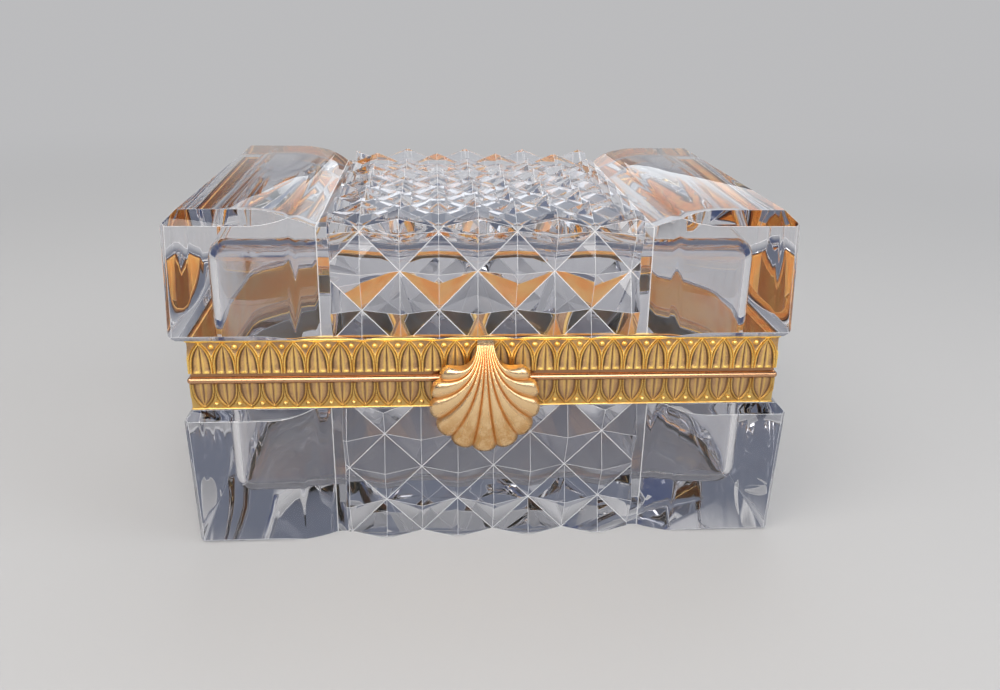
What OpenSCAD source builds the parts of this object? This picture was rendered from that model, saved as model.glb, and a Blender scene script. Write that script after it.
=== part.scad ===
// Cut-crystal casket box: two thick glass halves in gilt brass mounts, hinged at the back,
// with a cast shell as thumb-piece. Millimetres, +Z up, the front faces -Y.
// The origin is the centre of the underside that the box stands on.

/* [Glass blocks] */
// Width of each glass at its rim, across the front
glass_w = 160; // [154:1:172]
// Depth of each glass at its rim, front to back
glass_d = 107; // [103:1:118]
// Height of the base glass, table to shoulder
base_h = 39.4; // [36:0.2:46]
// Height of the lid glass above its mount
lid_h = 33.1; // [31:0.1:38]
// Thickness of the glass walls
wall = 10; // [9.5:0.1:12]
// Thickness of the floor of the base
floor_t = 12; // [9:0.5:15]
// Thickness of the top of the lid
lid_top_t = 9; // [8:0.5:12]
// Radius of the inside corners and edges
pocket_r = 5; // [3:0.5:7]
// How much narrower the lid glass is at its top, on each side
lid_draft = 1.2; // [0.6:0.1:1.8]
// How much narrower the base glass is at its foot, on each side
base_draft = 0.6; // [0.3:0.1:1.2]
// How far each glass is set off the centre of the mounts, to opposite sides
glass_offset = 0.8; // [0:0.1:1]

/* [Polished edges] */
// Bevel round the top of the lid
lid_bevel = 3.4; // [2:0.1:4]
// Chamfer round the underside of the lid glass
lid_foot_bevel = 1.7; // [1:0.1:1.8]
// Bevel round the shoulder of the base glass
shoulder_bevel = 2.4; // [1.5:0.1:2.5]
// Chamfer round the foot of the base glass
foot_bevel = 1; // [0.5:0.1:1.5]
// Facet down each upright corner
corner_facet = 1.2; // [0.8:0.1:2]
// Width of the hollow ground into each end
flute_w = 56; // [40:1:70]
// Depth of the hollow ground into each end
flute_depth = 1.2; // [0.6:0.1:1.8]

/* [Diamond cutting] */
// Width of one diamond
diamond_w = 19.7; // [18:0.1:21]
// Height of one diamond on the front and back
diamond_h = 20.4; // [18:0.1:21]
// Diamonds from front to back on the lid's top
top_rows = 5; // [4:1:6]
// Width of the cut field
field_w = 79; // [70:1:84]
// Depth of the cuts between the diamonds
cut_depth = 4.1; // [3:0.1:4.2]
// How far the points lie below the old surface
point_drop = 0.3; // [0.1:0.1:0.4]
// Distance of the first crossing from the top edge
edge_to_crossing = 5.6; // [5:0.1:6.5]
// Distance of the base's first crossing from its shoulder
base_first_crossing = 8.8; // [7:0.1:10]
// Sideways place of the lid's pattern on its glass
lid_cut_shift = -2.3; // [-3:0.1:3]
// Sideways place of the base's pattern on its glass
base_cut_shift = 0.9; // [-3:0.1:3]
// Width of the flat channel beside the field
channel_w = 3; // [2:0.1:3.5]
// Width over which each plain panel rolls down to the channel
roll_w = 16; // [12:0.5:18]

/* [Brass mounts] */
// How far the gallery's face stands in from the glass
mount_inset = 2.6; // [2.6:0.1:3]
// Visible height of the base gallery
base_gallery_h = 7.2; // [6.4:0.1:8.6]
// Visible height of the lid gallery
lid_gallery_h = 9.4; // [9.4:0.1:10.4]
// Thickness of the stamped gallery with its relief
gallery_t = 0.7; // [0.6:0.05:0.8]
// Thickness of the gallery's ground sheet
ground_t = 0.15; // [0.15:0.05:0.25]
// Relief of the leaves inside the arches
leaf_relief = 0.3; // [0.2:0.05:0.4]
// Pitch of the gallery's arches, fitted to a whole number on each side
arch_pitch = 6; // [5.8:0.05:6.4]
// Thickness of the collar behind the gallery
collar_t = 0.6; // [0.5:0.05:0.7]
// Height of the bead-edged rim on the base
rim_h = 1.8; // [1.8:0.1:2.2]
// Thickness of the flat frames that cover the glass edges
flange_t = 1; // [0.9:0.05:1.2]
// How far the frames reach in over the glass edges, from the outer face
flange_reach = 8.8; // [8:0.1:9.4]
// Proud step of the bead beyond the gallery's face
bead_step = 0.4; // [0.3:0.05:0.5]
// Set-back of the lid's frame behind the gallery's face
lid_rim_setback = 0.6; // [0.4:0.05:0.65]
// Gap between the two frames when the lid is down
parting = 0.1; // [0.05:0.05:0.15]
// Least thickness of the setting cement beside the neck of each glass
cement_t = 0.4; // [0.3:0.05:0.6]
// Cement between the ground edge of each glass and its frame
cement_bed = 0.3; // [0.2:0.05:0.4]

/* [Hinges] */
// Distance from the middle of each hinge to the end of the glass
hinge_inset = 34; // [22:1:50]
// Length of each hinge
hinge_len = 24; // [20:1:30]
// Length of the middle knuckle
mid_knuckle = 9.4; // [7:0.2:11]
// Outer radius of the knuckles
knuckle_r = 1.5; // [1.4:0.05:1.6]
// Distance of the hinge axis from the gallery's back face
axis_out = 1.3; // [1.3:0.05:1.5]
// Radius of the hinge pins
pin_r = 0.6; // [0.5:0.05:0.7]
// Clearance round the pin in the lid's knuckle
pin_fit = 0.05; // [0.03:0.01:0.08]
// Thickness of the hinge leaves
leaf_t = 0.6; // [0.5:0.05:0.7]
// How far the leaves reach in over the frames
leaf_reach = 6.6; // [6:0.1:7]
// Reach of the stop lugs from the axis
lug_r = 2.6; // [2.3:0.05:2.8]
// Angle at which the stop holds the open lid
open_angle = 100; // [90:1:105]
// Radius of the hinge rivets
rivet_r = 0.9; // [0.6:0.05:1.1]

/* [Shell thumb-piece] */
// Sideways place of the shell
shell_x = -1.2; // [-3:0.1:3]
// Radius of the fan, centre to tip of the lowest lobe
shell_r = 15.2; // [13:0.1:16]
// Number of lobes
shell_lobes = 11; // [7:2:13]
// Width of the neck
neck_w = 4.1; // [3.8:0.1:6]
// Swell of the shell in front of its neck
shell_swell = 3.9; // [2.5:0.1:4.5]
// Height of the ribs
rib_h = 1; // [0.5:0.1:1.3]
// Depth of the notches between the lobes
notch = 1.1; // [0.6:0.1:1.4]
// Gap between the shell's back and the base glass
shell_clear = 0.4; // [0.3:0.05:0.6]
// Width of the spring tongue behind the neck
tongue_w = 3.4; // [2.6:0.1:3.6]
// Thickness of the spring tongue
tongue_t = 0.4; // [0.3:0.05:0.45]
// Radius of the studs that hold the shell
stud_r = 0.8; // [0.5:0.05:1]

/* [Hidden] */

$fn = 48;
over = 2;                 // overshoot of a cutting tool past the surface
hole_fit = 0.02;          // clearance of a rivet or stud in its hole

crystal = "lightcyan";
gilt = "goldenrod";
rose_gilt = "peru";
steel = "silver";
plaster = "wheat";

// Heights, table upwards
rim_z = base_h + base_gallery_h;
rim_top = rim_z + rim_h;
lid_rim_z = rim_top + parting;
lid_gallery_z = lid_rim_z + flange_t;
lid_z = lid_gallery_z + lid_gallery_h;
total_h = lid_z + lid_h;

// Insets from the glass's outer face, outside to inside
collar_in = mount_inset + gallery_t;
cement_in = collar_in + collar_t;
neck_in = cement_in + cement_t + glass_offset;

pocket_w = glass_w - 2 * wall;
pocket_d = glass_d - 2 * wall;
channel_depth = cut_depth + point_drop + 0.3;
roll_start = field_w / 2 + channel_w;
roll_r = (pow(roll_w, 2) + pow(channel_depth, 2)) / (2 * channel_depth);
flute_r = pow(flute_w, 2) / (8 * flute_depth) + flute_depth / 2;
lid_tilt = atan(lid_draft / lid_h);
base_tilt = atan(base_draft / base_h);
lid_head_d = glass_d / 2 - lid_draft;
top_crossing = lid_head_d - edge_to_crossing;
top_diamond_d = 2 * top_crossing / top_rows;

// Gallery pattern
arches_front = round((glass_w - 2 * mount_inset) / arch_pitch);
arches_side = round((glass_d - 2 * mount_inset) / arch_pitch);
gallery_fillet = 0.75;    // plain fillet over the arches
arch_line = 0.42;         // width of an arch's moulding
arch_gap = 0.1;           // groove between two arches
foot_line = 0.3;          // plain line under the arches
leaf_margin = 1;          // ground left round each leaf
vein_w = 0.3;             // groove down the middle of each leaf
ball_r = 0.5;             // ball between two arches
ball_drop = 0.55;         // middle of the ball under the fillet

// Hinges
hinge_x = glass_w / 2 - hinge_inset;
gallery_back = glass_d / 2 - mount_inset;
axis_y = gallery_back + axis_out;
axis_z = rim_top + parting / 2;
knuckle_gap = 0.3;
swing_gap = 0.25;         // room between a knuckle and the other leaf
stop_gap = 3;             // degrees left between the stops when the lid is fully open
stop_face = (open_angle + stop_gap) / 2;
lug_back = 105;           // degrees from straight out to the back of each stop lug
bar_gap = 0.15;           // gap between the stop bar and the middle knuckle
side_knuckle = (hinge_len - mid_knuckle) / 2 - knuckle_gap;
leaf_y = glass_d / 2 - collar_in - leaf_reach;
rivet_in = 2.2;           // rivets from the inner edge of the leaf
rivet_end = 4;            // rivets from the ends of the leaf
rivet_y = leaf_y + rivet_in;
rivet_dx = hinge_len / 2 - rivet_end;
pin_head_t = 0.5;
pin_head_step = 0.3;      // how far a pin's head is wider than the pin

// Shell and tongue
shell_under = 0.4;        // top of the shell under the lid glass
neck_rise = 0.2;          // neck above the circle of the fan
stud_drop = 2.2;          // upper stud under the top of the shell
stud_pitch = 3.8;         // upper stud to lower stud
seat_drop = 7.6;          // flat seat of the tongue, from the top of the shell
tongue_rise = 0.3;        // top of the tongue under the top of the shell
tongue_gap = 0.3;         // running gap in front of the bead
tongue_bend = 1;          // height of the step out over the bead
tongue_below = 2.4;       // reach of the tongue below the bead
nib_h = 0.5;              // half the height of the nib
nib_below = 0.8;          // crest of the nib under the bead
shell_top = lid_z - shell_under;
shell_centre_z = shell_top - shell_r - neck_rise;
gallery_front = -gallery_back;
stud_z = [shell_top - stud_drop, shell_top - stud_drop - stud_pitch];
tongue_seat_z = shell_top - seat_drop;
tongue_end_z = rim_z - tongue_below;

// ---- outlines and tools --------------------------------------------------------------

// One half of a drafted block's outline, seen square on, with its mirror image
function block_outline(foot, head, h, foot_cut, head_cut) =
    let (lean = (head - foot) / h,
         side = [[foot - foot_cut, 0], [foot + lean * foot_cut, foot_cut],
                 [head - lean * head_cut, h - head_cut], [head - head_cut, h]])
    concat(side, [for (i = [3:-1:0]) [-side[i][0], side[i][1]]]);

// Block with drafted sides, bevelled edges at foot and head, and faceted corners
module cut_block(foot, head, h, foot_cut, head_cut) {
    reach = 2 * (glass_w + glass_d);
    foot_diag = (foot[0] + foot[1] - corner_facet) / sqrt(2);
    head_diag = (head[0] + head[1] - corner_facet) / sqrt(2);
    diagonal = [[foot_diag, 0], [head_diag, h], [-head_diag, h], [-foot_diag, 0]];
    intersection() {
        rotate([90, 0, 0]) linear_extrude(reach, center = true)
            polygon(block_outline(foot[0], head[0], h, foot_cut, head_cut));
        rotate([90, 0, 90]) linear_extrude(reach, center = true)
            polygon(block_outline(foot[1], head[1], h, foot_cut, head_cut));
        rotate([90, 0, 45]) linear_extrude(reach, center = true) polygon(diagonal);
        rotate([90, 0, -45]) linear_extrude(reach, center = true) polygon(diagonal);
    }
}

// Rectangle with round corners
module round_rect(w, d, r) {
    square([w - 2 * r, d], center = true);
    square([w, d - 2 * r], center = true);
    for (x = [-1, 1], y = [-1, 1])
        translate([x * (w / 2 - r), y * (d / 2 - r)]) circle(r);
}

// The hollow of a glass: a rounded box, open upwards past its mouth
module pocket(w, d, h, r) {
    translate([0, 0, r]) linear_extrude(h - r + over) round_rect(w, d, r);
    linear_extrude(2 * r) square([w - 2 * r, d - 2 * r], center = true);
    for (y = [-1, 1]) translate([0, y * (d / 2 - r), r])
        rotate([0, 90, 0]) cylinder(r = r, h = w - 2 * r, center = true);
    for (x = [-1, 1]) translate([x * (w / 2 - r), 0, r])
        rotate([90, 0, 0]) cylinder(r = r, h = d - 2 * r, center = true);
    for (x = [-1, 1], y = [-1, 1])
        translate([x * (w / 2 - r), y * (d / 2 - r), r]) sphere(r);
}

// Wheel cuts that leave a field of diamonds. The surface is the plane z = 0, a row of crossings
// lies on y = 0, and the field runs from y = lo to y = hi.
module diamond_cuts(shift, cell_h, lo, hi) {
    slant = atan2(cell_h, diamond_w);
    half_pitch = diamond_w * sin(slant) / 2;
    depth = cut_depth + point_drop;
    half_top = half_pitch * (depth + over) / cut_depth;
    run = hi - lo;
    length = 2 * (field_w + run);
    first = floor((-field_w / 2 - shift - run / tan(slant)) / diamond_w) - 1;
    last = ceil((field_w / 2 - shift + run / tan(slant)) / diamond_w);
    intersection() {
        for (side = [-1, 1], i = [first:last])
            if (cut_meets_field(shift + (i + 0.5) * diamond_w, side / tan(slant), lo, hi, half_pitch))
                translate([shift + (i + 0.5) * diamond_w, 0, 0]) rotate([0, 0, side * slant])
                    rotate([90, 0, 90]) linear_extrude(length, center = true)
                        polygon([[0, -depth], [half_top, over], [-half_top, over]]);
        translate([-field_w / 2, lo, -depth - 1]) cube([field_w, run, depth + 1 + over]);
    }
}

// True if a cut through [x, 0] at this slope passes over the field
function cut_meets_field(x, slope, lo, hi, half) =
    let (a = x + slope * lo, b = x + slope * hi)
    max(a, b) > -field_w / 2 - 1.6 * half && min(a, b) < field_w / 2 + 1.6 * half;

// Channel beside the field and the rolled edge of the plain panel, on both sides
module panel_rolls(lo, hi) {
    for (side = [0, 1]) mirror([side, 0, 0]) translate([0, hi, 0]) rotate([90, 0, 0])
        linear_extrude(hi - lo) difference() {
            translate([field_w / 2, -channel_depth])
                square([channel_w + roll_w, channel_depth + over]);
            translate([roll_start + roll_w, -roll_r]) circle(roll_r, $fn = 96);
        }
}

module face_cuts(shift, cell_h, lo, hi) {
    diamond_cuts(shift, cell_h, lo, hi);
    panel_rolls(lo, hi);
}

// Shallow hollow down each end face
module end_flutes(half_w, h, tilt) {
    for (side = [0, 1]) mirror([side, 0, 0]) translate([half_w, 0, 0]) rotate([0, tilt, 0])
        translate([flute_r - flute_depth, 0, -h / 2]) cylinder(r = flute_r, h = 2 * h, $fn = 96);
}

// Frame between two insets from the glass's outer face
module frame(outer, inner, z, h) {
    translate([0, 0, z]) linear_extrude(h) difference() {
        square([glass_w - 2 * outer, glass_d - 2 * outer], center = true);
        square([glass_w - 2 * inner, glass_d - 2 * inner], center = true);
    }
}

// ---- glass ---------------------------------------------------------------------------

module base_glass() {
    foot = [glass_w / 2 - base_draft, glass_d / 2 - base_draft];
    rim = [glass_w / 2, glass_d / 2];
    neck_top = rim_top - flange_t - cement_bed;
    color(crystal, 0.4) translate([glass_offset, 0, 0]) difference() {
        union() {
            difference() {
                cut_block(foot, rim, base_h, foot_bevel, shoulder_bevel);
                for (side = [0, 1]) mirror([0, side, 0])
                    translate([0, -rim[1], base_h]) rotate([90 + base_tilt, 0, 0])
                        translate([0, -base_first_crossing, 0])
                            face_cuts(base_cut_shift, diamond_h, base_first_crossing - base_h - over,
                                      base_first_crossing + over);
                end_flutes(foot[0], base_h, base_tilt);
            }
            frame(neck_in, wall + 1, base_h - 1, neck_top - base_h + 1);
        }
        translate([0, 0, floor_t]) pocket(pocket_w, pocket_d, neck_top - floor_t, pocket_r);
    }
}

module lid_glass() {
    foot = [glass_w / 2, glass_d / 2];
    head = [glass_w / 2 - lid_draft, lid_head_d];
    neck_z = lid_gallery_z + cement_bed;
    color(crystal, 0.4) translate([-glass_offset, 0, 0]) difference() {
        union() {
            translate([0, 0, lid_z]) difference() {
                cut_block(foot, head, lid_h, lid_foot_bevel, lid_bevel);
                for (side = [0, 1]) mirror([0, side, 0])
                    translate([0, -head[1], lid_h]) rotate([90 - lid_tilt, 0, 0])
                        translate([0, -edge_to_crossing, 0])
                            face_cuts(lid_cut_shift, diamond_h, edge_to_crossing - lid_h - over,
                                      edge_to_crossing + over);
                translate([0, -top_crossing, lid_h])
                    face_cuts(lid_cut_shift, top_diamond_d, -edge_to_crossing - over,
                              2 * top_crossing + edge_to_crossing + over);
                end_flutes(foot[0], lid_h, -lid_tilt);
            }
            frame(neck_in, wall + 1, neck_z, lid_z + 1 - neck_z);
        }
        translate([0, 0, total_h - lid_top_t]) mirror([0, 0, 1])
            pocket(pocket_w, pocket_d, total_h - lid_top_t - neck_z, pocket_r);
    }
}

// ---- setting cement ------------------------------------------------------------------

// Cement round the neck of a glass and over its ground edge, drawn for the base
module neck_cement(shoulder_z, frame_z, shift) {
    neck_top = frame_z - cement_bed;
    difference() {
        frame(cement_in, flange_reach, shoulder_z, frame_z - shoulder_z);
        translate([shift, 0, shoulder_z - 1])
            linear_extrude(neck_top - shoulder_z + 1)
                square([glass_w - 2 * neck_in, glass_d - 2 * neck_in], center = true);
    }
}

module base_cement() {
    color(plaster) neck_cement(base_h, rim_top - flange_t, glass_offset);
}

module lid_cement() {
    color(plaster) translate([0, 0, lid_z]) mirror([0, 0, 1])
        neck_cement(0, lid_z - lid_gallery_z, -glass_offset);
}

// ---- collars and galleries -----------------------------------------------------------

module base_collar() {
    color(gilt) frame(collar_in, cement_in, base_h, base_gallery_h);
}

module lid_collar() {
    color(gilt) difference() {
        frame(collar_in, cement_in, lid_gallery_z, lid_gallery_h);
        stud_holes();
    }
}

// Pointed arch standing on y = 0
module lancet(half, h) {
    r = (pow(half, 2) + pow(h, 2)) / (2 * half);
    intersection() {
        translate([half - r, 0]) circle(r);
        translate([r - half, 0]) circle(r);
        translate([-half, 0]) square([2 * half, h]);
    }
}

// Raised outlines of one stretch of gallery: points up, feet on y = 0, its top fillet at h
module gallery_outlines(length, count, h) {
    pitch = length / count;
    half = (pitch - arch_gap) / 2;
    tip = h - gallery_fillet;
    translate([-length / 2, tip]) square([length, gallery_fillet]);
    translate([-length / 2, 0]) square([length, foot_line]);
    for (i = [0:count - 1]) translate([(i + 0.5) * pitch - length / 2, 0]) difference() {
        lancet(half, tip);
        lancet(half - arch_line, tip - 2 * arch_line);
    }
    for (i = [1:count - 1]) translate([i * pitch - length / 2, tip - ball_drop]) circle(ball_r);
}

// Low leaves of one stretch of gallery, each split by its vein
module gallery_leaves(length, count, h) {
    pitch = length / count;
    for (i = [0:count - 1]) translate([(i + 0.5) * pitch - length / 2, 0]) difference() {
        lancet(pitch / 2 - leaf_margin, h - 3 * leaf_margin);
        translate([-vein_w / 2, 0]) square([vein_w, h]);
    }
}

// One stretch of relief, rooted in the ground sheet, feet up to the cut line hidden behind the rim
module gallery_stretch(length, count, h, hidden) {
    relief = gallery_t - ground_t;
    root = ground_t / 2;
    for (layer = [0, 1]) translate([0, 0, -root])
        linear_extrude(root + (layer == 0 ? relief : leaf_relief)) intersection() {
            translate([0, -hidden]) {
                if (layer == 0) gallery_outlines(length, count, h + hidden);
                else gallery_leaves(length, count, h + hidden);
            }
            translate([-length / 2, 0]) square([length, h]);
        }
}

// The stamped gallery all round, points up, feet on z = 0
module gallery(h, hidden) {
    relief = gallery_t - ground_t;
    ground_in = mount_inset + relief;
    frame(ground_in, collar_in, 0, h);
    for (turn = [0, 180]) rotate([0, 0, turn]) {
        translate([0, -(glass_d / 2 - ground_in), 0]) rotate([90, 0, 0])
            gallery_stretch(glass_w - 2 * mount_inset, arches_front, h, hidden);
        translate([glass_w / 2 - ground_in, 0, 0]) rotate([90, 0, 90])
            gallery_stretch(glass_d - 2 * ground_in, arches_side, h, hidden);
    }
}

module base_gallery() {
    color(gilt) translate([0, 0, rim_z]) mirror([0, 0, 1])
        gallery(base_gallery_h, lid_gallery_h - base_gallery_h);
}

module lid_gallery() {
    color(gilt) difference() {
        translate([0, 0, lid_gallery_z]) gallery(lid_gallery_h, 0);
        stud_holes();
    }
}

// ---- frames --------------------------------------------------------------------------

// Half-round nose all round the base frame
module bead() {
    r = rim_h / 2;
    half_w = glass_w / 2 - mount_inset + bead_step - r;
    half_d = glass_d / 2 - mount_inset + bead_step - r;
    translate([0, 0, rim_z + r]) {
        for (y = [-1, 1]) translate([0, y * half_d, 0])
            rotate([0, 90, 0]) cylinder(r = r, h = 2 * half_w, center = true);
        for (x = [-1, 1]) translate([x * half_w, 0, 0])
            rotate([90, 0, 0]) cylinder(r = r, h = 2 * half_d, center = true);
        for (x = [-1, 1], y = [-1, 1]) translate([x * half_w, y * half_d, 0]) sphere(r);
    }
}

module base_rim() {
    nose_in = mount_inset - bead_step + rim_h / 2;
    color(rose_gilt) difference() {
        union() {
            frame(nose_in, flange_reach, rim_z, rim_h);
            bead();
        }
        translate([0, 0, rim_z - 1]) linear_extrude(rim_h - flange_t + 1)
            square([glass_w - 2 * cement_in, glass_d - 2 * cement_in], center = true);
        both_hinges() {
            axial(hinge_len + 2 * knuckle_gap) circle(knuckle_r + swing_gap);
            translate([-hinge_len / 2, leaf_y, rim_top - leaf_t])
                cube([hinge_len, glass_d / 2 - leaf_y, leaf_t + 1]);
            rivet_row() cylinder(r = rivet_r + hole_fit, h = 2 * over, center = true);
        }
    }
}

module lid_rim() {
    color(rose_gilt) difference() {
        frame(mount_inset + lid_rim_setback, flange_reach, lid_rim_z, flange_t);
        both_hinges() {
            translate([-hinge_len / 2, leaf_y, lid_rim_z - 1])
                cube([hinge_len, glass_d / 2 - leaf_y, leaf_t + 1]);
            rivet_row() cylinder(r = rivet_r + hole_fit, h = 2 * over, center = true);
        }
    }
}

// ---- hinges --------------------------------------------------------------------------

module both_hinges() {
    for (side = [-1, 1]) translate([side * hinge_x, 0, 0]) children();
}

// A flat outline in Y and Z about the hinge axis, drawn out along X
module axial(length) {
    translate([0, axis_y, axis_z]) rotate([90, 0, 90]) linear_extrude(length, center = true)
        children();
}

module rivet_row() {
    for (side = [-1, 1]) translate([side * rivet_dx, rivet_y, axis_z]) children();
}

// Sector between two angles, 0 pointing away from the box
module sector(r, from, to) {
    reach = 2 * r;
    intersection() {
        circle(r);
        polygon([[0, 0], reach * [cos(from), sin(from)],
                 reach * [cos((from + to) / 2), sin((from + to) / 2)], reach * [cos(to), sin(to)]]);
    }
}

// Two outer knuckles, the leaf let into the base frame, and the bar that stops the lid
module base_hinge() {
    difference() {
        union() {
            for (side = [-1, 1]) translate([side * (hinge_len - side_knuckle) / 2, 0, 0])
                axial(side_knuckle) {
                    circle(knuckle_r);
                    sector(lug_r, -lug_back, -stop_face);
                }
            axial(hinge_len) difference() {
                sector(lug_r, -lug_back, -stop_face);
                circle(knuckle_r + bar_gap);
            }
            difference() {
                translate([-hinge_len / 2, leaf_y, rim_top - leaf_t])
                    cube([hinge_len, axis_y - leaf_y, leaf_t]);
                axial(mid_knuckle + 2 * knuckle_gap) circle(knuckle_r + swing_gap);
            }
        }
        axial(hinge_len + over) circle(pin_r + hole_fit);
        rivet_row() cylinder(r = rivet_r + hole_fit, h = 2 * over, center = true);
    }
}

// The middle knuckle with its stop lug, and the leaf let into the lid's frame
module lid_hinge() {
    difference() {
        union() {
            axial(mid_knuckle) {
                circle(knuckle_r);
                sector(lug_r, stop_face, lug_back);
            }
            translate([-hinge_len / 2, leaf_y, lid_rim_z])
                cube([hinge_len, axis_y - leaf_y, leaf_t]);
        }
        axial(hinge_len + over) circle(pin_r + pin_fit);
        for (side = [-1, 1]) translate([side * (hinge_len - side_knuckle) / 2, 0, 0])
            axial(side_knuckle + 2 * knuckle_gap) circle(knuckle_r + swing_gap);
        rivet_row() cylinder(r = rivet_r + hole_fit, h = 2 * over, center = true);
    }
}

// Pin with a low head at each end of its hinge
module hinge_pin() {
    head_x = hinge_len / 2 + pin_head_t / 2;
    axial(hinge_len + pin_head_t) circle(pin_r);
    for (side = [-1, 1]) translate([side * head_x, 0, 0])
        axial(pin_head_t) circle(pin_r + pin_head_step);
}

module base_hinge_left() {
    color(gilt) translate([-hinge_x, 0, 0]) base_hinge();
}

module base_hinge_right() {
    color(gilt) translate([hinge_x, 0, 0]) base_hinge();
}

module lid_hinge_left() {
    color(gilt) translate([-hinge_x, 0, 0]) lid_hinge();
}

module lid_hinge_right() {
    color(gilt) translate([hinge_x, 0, 0]) lid_hinge();
}

module hinge_pin_left() {
    color(steel) translate([-hinge_x, 0, 0]) hinge_pin();
}

module hinge_pin_right() {
    color(steel) translate([hinge_x, 0, 0]) hinge_pin();
}

// Flush rivets through a leaf and its frame
module base_hinge_rivets() {
    color(gilt) both_hinges() rivet_row() translate([0, 0, rim_top - flange_t - axis_z])
        cylinder(r = rivet_r, h = flange_t);
}

module lid_hinge_rivets() {
    color(gilt) both_hinges() rivet_row() translate([0, 0, lid_rim_z - axis_z])
        cylinder(r = rivet_r, h = flange_t);
}

// ---- shell thumb-piece ---------------------------------------------------------------

rib_steps = 6;            // facets across one lobe
long_steps = 14;          // facets from neck to tip
seat_steps = 3;           // of those, how many bear on the tongue
fan_half = 148;           // degrees from the lowest lobe to the side of the fan
fan_ease = 0.06;          // share by which the side lobes lie closer together
side_short = 0.1;         // share by which the side lobes are shorter
notch_round = 2.5;        // power that rounds the lobes' tips
neck_spread = 1.45;       // how much wider the ribs lie where they bend than at the neck
bend_over = 1;            // height over the fan's centre at which the middle rib bends
bend_side = 7.5;          // how much higher the side ribs bend
neck_t = 2.6;             // thickness at the neck
swell_from = 3.6;         // degrees of the swell's sine at the neck
swell_span = 144;         // degrees of it from neck to tip
side_thin = 0.6;          // how much thinner the side lobes are
rib_round = 0.96;         // 1 for half-round ribs, less for flatter ones
rib_foot = 0.2;           // share of a rib's height that is sunk in the shell
rib_start = 0.25;         // share of a rib's height at the neck
rib_grow = 0.7;           // power with which a rib grows from neck to tip
tip_fall = 0.8;           // share by which a rib falls at its tip
tip_round = 8;            // power of that fall

// Place across the fan, -1 to 1, of grid line i
function across(i) = 2 * i / (shell_lobes * rib_steps) - 1;

// Distance from the nearest lobe's crest, 0 on the crest and 1 in the valley
function off_crest(s) = let (u = (s + 1) / 2 * shell_lobes) abs(2 * (u - floor(u)) - 1);

// Tip of the fan at place s, in X and Z
function fan_tip(s) =
    let (angle = 270 + fan_half * s * (1 - fan_ease * s * s),
         r = shell_r * (1 - side_short * s * s) - notch * pow(off_crest(s), notch_round))
    [r * cos(angle), shell_centre_z + r * sin(angle)];

// Point on the shell's outline plane: each rib leaves the neck downwards and bends out to its tip
function fan_point(s, t) =
    let (root = [s * neck_w / 2, shell_top],
         bend = [neck_spread * root[0], shell_centre_z + bend_over + bend_side * s * s])
    pow(1 - t, 2) * root + 2 * t * (1 - t) * bend + t * t * fan_tip(s);

// How far the shell's face stands out from the gallery
function face_out(s, t) =
    let (crest = sqrt(1 - rib_round * pow(off_crest(s), 2)) - rib_foot,
         rib = rib_h * (rib_start + pow(t, rib_grow)) * (1 - tip_fall * pow(t, tip_round)))
    neck_t + shell_swell * sin(swell_from + swell_span * t) - side_thin * t * s * s + rib * crest;

// The back bears on the tongue along the neck and stands clear of the base glass below
function back_out(k) =
    k <= seat_steps ? tongue_t : mount_inset + shell_clear;

function shell_point(i, k, face) =
    let (s = across(i), t = k / long_steps, p = fan_point(s, t),
         out = face ? face_out(s, t) : back_out(k))
    [shell_x + p[0], gallery_front - out, p[1]];

module shell_clasp() {
    columns = shell_lobes * rib_steps;
    row = columns + 1;
    back = row * (long_steps + 1);
    points = [for (face = [true, false], k = [0:long_steps], i = [0:columns])
        shell_point(i, k, face)];
    face_side = [for (k = [0:long_steps - 1], i = [0:columns - 1], half = [0, 1])
        let (a = k * row + i) half == 0 ? [a, a + 1, a + row] : [a + 1, a + row + 1, a + row]];
    back_side = [for (f = face_side) [f[0] + back, f[2] + back, f[1] + back]];
    rim_loop = concat([for (i = [0:columns]) i],
                      [for (k = [1:long_steps]) k * row + columns],
                      [for (i = [columns - 1:-1:0]) long_steps * row + i],
                      [for (k = [long_steps - 1:-1:1]) k * row]);
    edge = [for (n = [0:len(rim_loop) - 1], half = [0, 1])
        let (a = rim_loop[n], b = rim_loop[(n + 1) % len(rim_loop)])
        half == 0 ? [a, a + back, b] : [b, a + back, b + back]];
    color(rose_gilt) polyhedron(points, concat(face_side, back_side, edge));
}

module stud_holes() {
    for (z = stud_z) translate([shell_x, gallery_front, z]) rotate([90, 0, 0])
        cylinder(r = stud_r + hole_fit, h = 2 * (gallery_t + collar_t + over), center = true);
}

// Studs on the shell's back, through tongue, gallery and collar
module clasp_studs() {
    length = tongue_t + gallery_t + collar_t;
    color(gilt) for (z = stud_z) translate([shell_x, gallery_front - tongue_t, z])
        rotate([-90, 0, 0]) cylinder(r = stud_r, h = length);
}

// Spring tongue: flat on the gallery, then stepped out past the bead, with a nib that snaps under it
module catch_tongue() {
    step_out = bead_step + tongue_gap;
    nib = tongue_gap / 2;
    nib_z = rim_z - nib_below;
    head_z = shell_top - tongue_rise;
    profile = [[0, head_z], [0, tongue_seat_z], [step_out, tongue_seat_z - tongue_bend],
               [step_out, nib_z + nib_h], [step_out - nib, nib_z], [step_out, nib_z - nib_h],
               [step_out, tongue_end_z], [step_out + tongue_t, tongue_end_z],
               [step_out + tongue_t, tongue_seat_z - tongue_bend], [tongue_t, tongue_seat_z],
               [tongue_t, head_z]];
    color(gilt) difference() {
        translate([shell_x, gallery_front, 0]) rotate([90, 0, -90])
            linear_extrude(tongue_w, center = true) polygon(profile);
        stud_holes();
    }
}

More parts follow.
